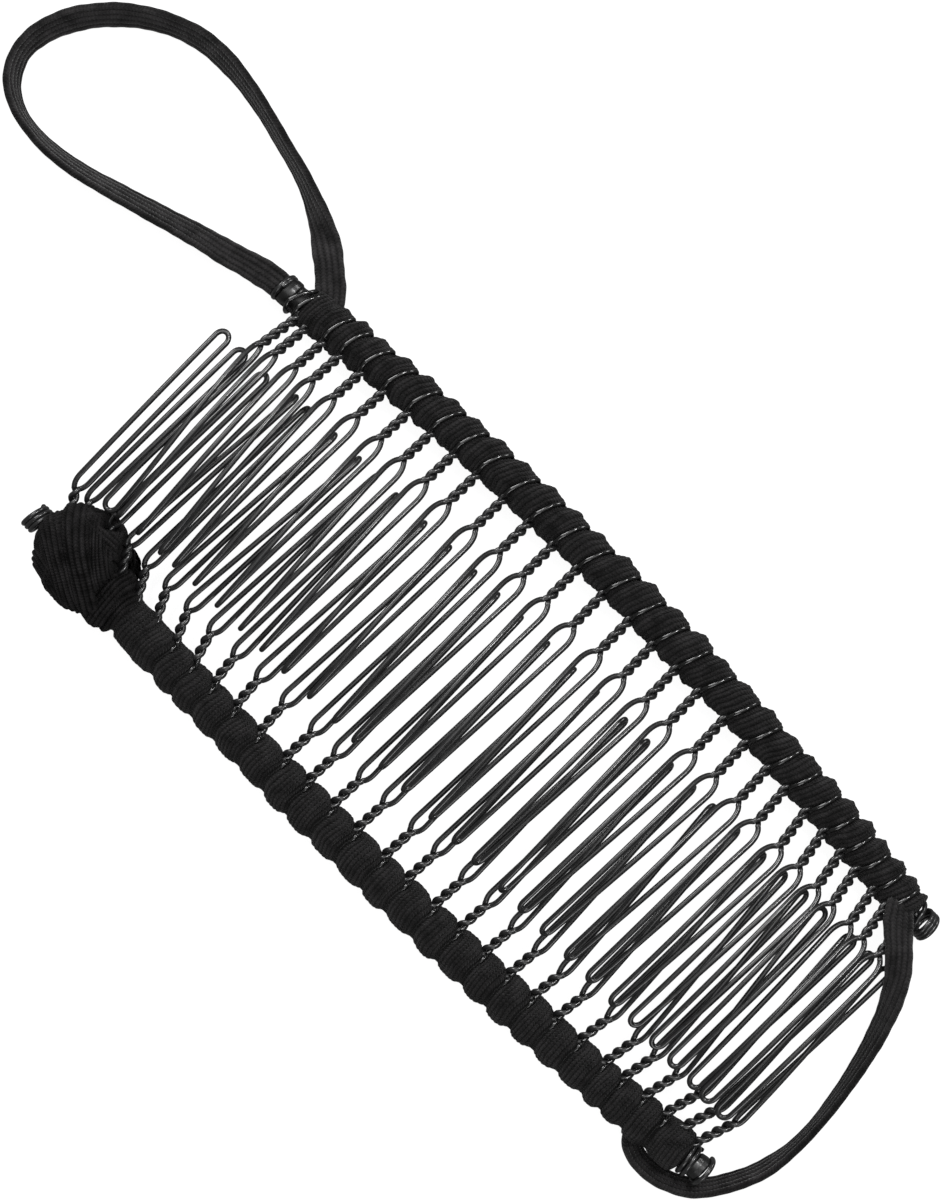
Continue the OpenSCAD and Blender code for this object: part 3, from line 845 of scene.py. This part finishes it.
def addWinding(w, s):
    comb = w["comb"]
    grooves = grooveXs(w, s)
    x0, x1 = w["ends"]
    n = int((x1 - x0) / s["turnLength"] * s["ringsPerTurn"])
    x = np.linspace(x0, x1, n)
    part = np.arange(s["around"] + 1) / s["around"]
    a = np.radians(w["stemAngle"] + w["overTop"] * 360 * part)
    ca, sa = np.cos(a)[None], np.sin(a)[None]
    # the turn that covers a place, and how far across that turn the place is
    advance = advanceAt(w, part[None], x[:, None])
    place = np.interp(x, grooves, np.arange(len(grooves)))[:, None] - advance
    turn = np.floor(place).astype(int)
    across = place - turn
    high = (s["heightLeast"] + s["heightSpread"] * rng.random(s["turnsDrawn"]))[turn]
    lean = (s["leanSpread"] * (rng.random(s["turnsDrawn"]) - 0.5))[turn]
    f = s["floorShare"]
    t = np.clip((across - f) / (1 - 2 * f), 0, 1)
    t = np.clip(t + lean * np.sin(np.pi * t), 0, 1)
    body = np.interp(t, *np.array(w["profile"]).T)
    plainEnd = x[:, None] - s["plainSlant"] * advance - x0 - w["skip"] + s["plainFade"]
    body = s["plainHeight"] + (body - s["plainHeight"]) * ease(plainEnd / s["plainFade"])
    # lumps and ribs
    edge = ease(np.minimum(t, 1 - t) / s["edgeShare"])
    lump = s["slowLumps"] * wander(place * 2.2, 2.2 * sa + 0 * place, 11)
    lump = lump + s["fastLumps"] * wander(place * 5, 3 * ca + 0 * place, 12)
    lump = lump * (1 + s["outerLumps"] * np.maximum(-comb["side"] * ca, 0) ** 2)
    sway = s["ribSway"] * wander(place * 1.3 + 3 * sa, 2.5 * ca + turn * 1.7, 13)
    ribs = np.maximum(3, np.round(np.diff(grooves) / w["ribEvery"]))
    ribAt = ribs[np.clip(turn, 0, len(ribs) - 1)] * t + sway * np.sin(np.pi * t)
    rib = np.abs(np.sin(np.pi * ribAt)) ** ribFullness
    toLow, toFar = np.maximum(-ca, 0) ** 2, np.maximum(ca, 0) ** 2
    deep = w["ribDepth"] * (1 + s["ribUneven"] * wander(place * 2, 2 * sa + 0 * place, 14))
    deep = deep * (1 - s["ribSideFade"] * (toLow + toFar) ** 2)
    # the radius all round, smaller at the two sides and rounded at the ends
    lowSide, farSide = w["sides"]
    sideways = 1 + (lowSide - 1) * toLow + (farSide - 1) * toFar
    base = s["groove"] + w["floorRise"][0] * toLow + w["floorRise"][1] * toFar
    r = base + w["height"] * high * body * sideways + edge * lump - deep * (1 - rib) * edge
    r = r * quarterRound(np.minimum(x - x0, x1 - x)[:, None], s["endRound"])
    nip = np.exp(-((x[:, None] - s["dentPlace"]) / s["dentWidth"]) ** 2)
    r = np.minimum(r, s["mostRadius"]) - w["dent"] * nip * toLow
    slope = np.gradient(spineY(comb, x), x)
    out = unit(np.stack([-slope, np.ones(n), np.zeros(n)], 1))
    spine = np.stack([x, spineY(comb, x), np.full(n, combSet["spineZ"])], 1)
    rings = (spine[:, None] + (r * ca)[..., None] * out[:, None]
             + (r * sa)[..., None] * np.array([0, 0, 1]))[:, :-1]
    rings[..., 2] = np.maximum(rings[..., 2], lowest)
    # rings in reverse keep the faces outwards where the turns go the other way
    order = w["overTop"]
    ringSkin(w["name"], w["node"], rings[::order], ribAt[::order] * woundLook["ribPitch"],
             part * s["stitchesRound"] * woundLook["stitchPitch"], woundCloth)


# The comb's wire comes round once in a groove, sunk where it passes under the elastic
def grooveWire(w, s, grooves, start):
    count = np.arange(len(grooves))
    k = np.interp(start, grooves, count)
    reach = w["wireOut"] - (s["bareDrop"] if start in w["bare"] else 0)
    square = np.interp(start, (blendFrom, blendTo), w["wireSquare"])
    low, high = sorted((w["wireFrom"], w["wireTo"]))
    points = []
    for part in np.linspace(*s["wirePart"], s["wirePoints"]):
        degrees = w["stemAngle"] + w["overTop"] * 360 * part
        proud = (ease((degrees - low + s["wireEarly"]) / s["wireRise"])
                 * ease((high + s["wireEarly"] - degrees) / s["wireRise"]))
        a = math.radians(degrees)
        radius = reach / (abs(math.cos(a)) ** square + abs(math.sin(a)) ** square) ** (1 / square)
        radius = s["wireSunk"] + (radius - s["wireSunk"]) * proud
        x = np.interp(k + advanceAt(w, part, start), count, grooves)
        points.append([x, spineY(w["comb"], x) + radius * math.cos(a),
                       combSet["spineZ"] + radius * math.sin(a)])
    return points


def addTurns(w, s):
    grooves = grooveXs(w, s)
    first, last = w["ends"][0] + w["skip"], w["ends"][1] - max(s["lastWire"], w["skipEnd"])
    starts = [x for x in grooves if first < x < last] + list(w["bare"])
    wires = [grooveWire(w, s, grooves, start) for start in starts]
    addWires(w["comb"], "Turns", wires, combSet["turnWire"], shinyWirePaintedShade)


for w in (upperWinding, lowerWinding):
    addWinding(w, windingSet)
    addTurns(w, windingSet)
print("windings made")


# The knot: the elastic wound into a ball, and a lobe that joins it to the winding. A wrap is
# a flat length of elastic round the ball: turn is the slant of its ribs from the picture's
# vertical in degrees, nod tips it towards the viewer, off moves it off the middle
knotSet = {
    "middle": (-66.1, -27.3, 6.5),
    "half": (9.0, 8.1, 6.5),
    "highest": 14.1,
    "ballRings": 90,
    "ballAround": 160,
    "ballRibs": 8.4,       # for each radian from one pole to the other
    "ballGirth": 40.0,     # for the stitches
    "ballLumps": 0.2,
    "poleGap": 0.03,       # radians left open at each pole, closed by a flat face
    "wraps": [
        {"turn": 7, "nod": 6, "off": 0.02, "wide": 0.3, "lift": 0.6},
        {"turn": 16, "nod": 12, "off": -0.5, "wide": 0.3, "lift": 0.4},
        {"turn": 4, "nod": 10, "off": 0.5, "wide": 0.26, "lift": 0.25},
        {"turn": 32, "nod": 8, "off": -0.82, "wide": 0.28, "lift": 0.3},
        {"turn": -34, "nod": 24, "off": -0.15, "wide": 0.3, "lift": 0.1},
        {"turn": 46, "nod": -20, "off": 0.5, "wide": 0.28, "lift": 0.15},
        {"turn": -75, "nod": 30, "off": -0.55, "wide": 0.28, "lift": 0.2},
    ],
    "ribs": 5,
    "ribDepth": 0.42,
    "around": 150,
    "across": 46,
    "overlap": 0.08,       # radians that a wrap goes past a full turn
    "underSkip": 4,        # its underside leaves out this many points at each edge
    "underEvery": 3,       # and takes one in three of the others
    "under": 0.9,          # how far its underside lies below the ball's skin
    "widthWander": 0.12,
    "pathWander": 0.06,
    "ribSway": 0.25,
    "crown": 0.25,
    "lumps": 0.18,
    "edgeDrop": 1.2,
    "wrapRadius": 8.2,     # for the stitches
}
# the twisted stems that lie on the ball: number of the tooth, and the share of its stem from
# where it shows
pressSet = {
    "stems": [(2, 0.86), (3, 0.5), (4, 0.4)],
    "forkPlace": 0.3,      # just past the fork
    "under": 0.5,          # how far below a stem's middle the elastic is pressed
    "bank": 0.6,           # how fast it rises again beside the stem
    "reach": 2.6,
    "pastFork": 1.5,       # share of the stem's length
    "fadeEarly": 0.12,
    "fade": 0.2,
    "letGo": 12.0,         # how much higher the limit is where the stem doesn't show
}
foldSet = {
    "from": -61.7,         # where the ball starts to give way to the fold
    "fade": 0.8,
    "radius": 4.0,
    "sideFrom": -2.0,      # how far off the spine's line it starts, on the side away from the stems
    "sideFade": 1.2,
    "aboveZ": 5.0,         # what lies lower stays
}
tailSet = {
    "from": -66.0,
    "to": -54.6,
    "middleZ": 4.6,
    "rings": 150,
    "around": 90,
    # place along the spine and radius: a full fold, a nip and a narrower one
    "profile": [(-66, 4.2), (-61.6, 4.2), (-61, 4.3), (-60.6, 5.5), (-60.1, 5.9), (-59, 6.1),
                (-58, 5.7), (-57.6, 4.9), (-57.3, 4.0), (-56.9, 4.4), (-55.9, 4.6), (-55, 4.1),
                (-54.6, 3.6)],
    "bow": 1.1,            # how much further along the spine the folds' ends are
    "bowTurn": 0.1,        # radians
    "ribPitch": 0.85,
    "ribDepth": 0.36,
    "ribSideFade": 0.8,
    "ribSway": 0.35,
    "lumps": 0.15,
    "nearFlat": 0.5,       # how much the near side of the fold is flattened, past a radius of
    "nearFrom": 4.6,
    "endRound": 1.6,
    "girth": 30.0,         # for the stitches
}
cameraTurn = math.radians(cameraSet["turn"])
pictureRight = np.round([math.cos(cameraTurn), math.sin(cameraTurn), 0], 4)
pictureDown = np.round([math.sin(cameraTurn), -math.cos(cameraTurn), 0], 4)


# Press points down where the twisted stems lie on the ball near its edge
def pressStems(points):
    p = pressSet
    for i, showFrom in p["stems"]:
        x = rootX(lowerComb, lowerComb["teeth"][i])
        root = np.array([x, spineY(lowerComb, x), combSet["spineZ"]])
        way = toothPoint(lowerComb, i, p["forkPlace"], 1) - root
        share = ((points - root)[..., :2] @ way[:2]) / (way[:2] @ way[:2])
        near = root + np.clip(share, 0, p["pastFork"])[..., None] * way
        off = np.linalg.norm((points - near)[..., :2], axis=-1)
        limit = near[..., 2] - p["under"] + off ** 3 * p["bank"]
        limit = limit + p["letGo"] * ease((showFrom + p["fadeEarly"] - share) / p["fade"])
        pressed = np.minimum(points[..., 2], limit)
        points[..., 2] = np.where(off < p["reach"], pressed, points[..., 2])
    return points


# Keep the ball below the fold of elastic that joins it to the winding
def pressFold(points):
    f = foldSet
    x, y, z = np.moveaxis(points, -1, 0)
    off = y - spineY(lowerComb, x)
    share = ease((x - f["from"]) / f["fade"]) * ease((off - f["sideFrom"]) / f["sideFade"])
    limit = tailSet["middleZ"] + np.sqrt(np.maximum(f["radius"] ** 2 - off ** 2, 0))
    points[..., 2] = np.where(z > f["aboveZ"], z - share * np.maximum(z - limit, 0), z)
    return points


# Points on the ball: d is a direction from its middle, rise how far above its skin they lie
def onBall(k, d, rise):
    r = 1 / np.sqrt(((d / np.array(k["half"])) ** 2).sum(-1)) + rise
    points = pressFold(pressStems(np.array(k["middle"]) + r[..., None] * d))
    points[..., 2] = np.clip(points[..., 2], lowest, k["highest"])
    return points


def addBall(k):
    lat = np.linspace(k["poleGap"], np.pi - k["poleGap"], k["ballRings"])[:, None]
    part = np.arange(k["ballAround"] + 1) / k["ballAround"]
    lon = (2 * np.pi * part)[None]
    up = np.array([0, 0, 1])
    d = (np.cos(lat)[..., None] * pictureRight
         + (np.sin(lat) * np.cos(lon))[..., None] * pictureDown
         + (np.sin(lat) * np.sin(lon))[..., None] * up)
    ribAt = lat * k["ballRibs"]
    rib = np.abs(np.sin(np.pi * ribAt))
    rise = k["ballLumps"] * wander(lat * 2, np.sin(lon) * 2, 5) - k["ribDepth"] * (1 - rib)
    points = onBall(k, d, rise)[:, :-1]
    ringSkin("knotBall", "knot", points[::-1], ribAt[::-1] * woundLook["ribPitch"],
             part * k["ballGirth"], knotCloth)


def addWrap(k, w, i):
    turn, nod = math.radians(w["turn"]), math.radians(w["nod"])
    pole = math.cos(turn) * pictureRight - math.sin(turn) * pictureDown
    pole = math.cos(nod) * pole + math.sin(nod) * np.array([0, 0, 1])
    e1 = unit(np.cross(pole, (0, 0, 1)))
    e2 = np.cross(pole, e1)
    # section: over the top from one edge to the other, and back underneath
    top = np.linspace(-1, 1, k["across"])
    below = top[::-1][k["underSkip"]:-k["underSkip"]:k["underEvery"]]
    v = np.concatenate([top, below])[None]
    isBelow = np.arange(v.size)[None] >= top.size
    theta = np.linspace(0, 2 * np.pi + k["overlap"], k["around"])[:, None]
    wide = w["wide"] * (1 + k["widthWander"] * wander(theta * 1.5, 0 * theta, 20 + i))
    beta = math.asin(w["off"]) + wide * v + k["pathWander"] * wander(theta, 0 * theta, 40 + i, 1.4)
    d = (np.cos(beta)[..., None] * (np.cos(theta)[..., None] * e1 + np.sin(theta)[..., None] * e2)
         + np.sin(beta)[..., None] * pole)
    sway = k["ribSway"] * wander(theta * 2, v * 1.5, 60 + i) * (1 - v ** 2)
    ribAt = (v + 1) / 2 * k["ribs"] + sway
    rib = np.abs(np.sin(np.pi * ribAt)) ** ribFullness
    rise = w["lift"] + k["crown"] * (1 - v ** 2) + k["lumps"] * wander(theta * 2.5, v * 2, 80 + i)
    rise = rise - k["edgeDrop"] * np.abs(v) ** 8 - k["ribDepth"] * (1 - rib)
    points = onBall(k, d, np.where(isBelow, -k["under"], rise))
    across = np.concatenate([ribAt, ribAt[:, :1]], 1) * woundLook["ribPitch"]
    ringSkin("knotWrap%d" % (i + 1), "knot", points, across, theta * k["wrapRadius"], knotCloth)


def addTail(k):
    x = np.linspace(k["from"], k["to"], k["rings"])
    part = np.arange(k["around"] + 1) / k["around"]
    a = (2 * np.pi * part)[None]
    bowed = x[:, None] - k["bow"] * np.cos(a + k["bowTurn"]) ** 2 * np.tanh(3 * np.sin(a))
    sway = k["ribSway"] * wander(x[:, None] * 0.5, np.cos(a) * 2, 31)
    ribAt = (bowed + sway) / k["ribPitch"]
    rib = np.abs(np.sin(np.pi * ribAt)) ** ribFullness
    deep = k["ribDepth"] * (1 - k["ribSideFade"] * np.cos(a) ** 2)
    r = lookUp(bowed, k["profile"])
    r = r + k["lumps"] * wander(x[:, None] * 0.6, np.sin(a) * 2, 32) - deep * (1 - rib)
    r = r - k["nearFlat"] * np.maximum(-np.cos(a), 0) ** 2 * np.clip(r - k["nearFrom"], 0, 1)
    r = r * quarterRound(np.minimum(x - k["from"], k["to"] - x)[:, None], k["endRound"])
    y = spineY(lowerComb, x)[:, None] + r * np.cos(a)
    z = np.maximum(k["middleZ"] + r * np.sin(a), lowest)
    rings = pressStems(np.stack([np.broadcast_to(x[:, None], y.shape), y, z], -1))[:, :-1]
    rings[..., 2] = np.maximum(rings[..., 2], lowest)
    ringSkin("knotTail", "knot", rings, ribAt * woundLook["ribPitch"], part * k["girth"], knotCloth)


addBall(knotSet)
for i, w in enumerate(knotSet["wraps"]):
    addWrap(knotSet, w, i)
addTail(tailSet)
print("knot made")


# Floor and light
stageSet = {
    "floorSize": 3.0,
    "floorColor": (0.16, 0.16, 0.16),
    "floorGlow": 0.93,
    "world": 0.2,
    "aim": (-0.016, 0.012, 0),    # the clip's middle, metres
}
lightSet = {
    # name: place and size in metres and power in watts, each aimed at the clip's middle
    "key": {"at": (0.05, 0.42, 0.85), "size": 0.14, "power": 4.2},
    "top": {"at": (-0.1, 0.05, 1.0), "size": 0.8, "power": 3.6},
    "side": {"at": (-0.7, 0.15, 0.4), "size": 0.3, "power": 3.9},
    "end": {"at": (0.34, -0.26, 0.28), "size": 0.2, "power": 0.6},
    "back": {"at": (0.0, 0.75, 0.3), "size": 0.2, "power": 2.0},
}


def addStage(s, lights):
    half = s["floorSize"] / 2
    mesh = bpy.data.meshes.new("floor")
    mesh.from_pydata([(-half, -half, 0), (half, -half, 0), (half, half, 0), (-half, half, 0)],
                     [], [(0, 1, 2, 3)])
    floor = addObject("floor", mesh)
    mat, tree, bsdf = startMaterial("paleFloor")
    bsdf.inputs["Base Color"].default_value = (*s["floorColor"], 1)
    bsdf.inputs["Roughness"].default_value = 1.0
    bsdf.inputs["Specular IOR Level"].default_value = 0.0
    bsdf.inputs["Emission Color"].default_value = (1, 1, 1, 1)
    bsdf.inputs["Emission Strength"].default_value = s["floorGlow"]
    mesh.materials.append(mat)
    floor.visible_glossy = False
    world = bpy.data.worlds.new("studio")
    world.use_nodes = True
    back = world.node_tree.nodes["Background"]
    back.inputs["Color"].default_value = (1, 1, 1, 1)
    back.inputs["Strength"].default_value = s["world"]
    bpy.context.scene.world = world
    for name, light in lights.items():
        data = bpy.data.lights.new(name, "AREA")
        data.size = light["size"]
        data.energy = light["power"]
        lamp = addObject(name, data)
        lamp.location = light["at"]
        lamp.rotation_euler = (Vector(s["aim"]) - lamp.location).to_track_quat("-Z", "Y").to_euler()
        lamp.visible_camera = False
    bpy.context.scene.view_settings.view_transform = "Standard"


addStage(stageSet, lightSet)
print("stage and light set")
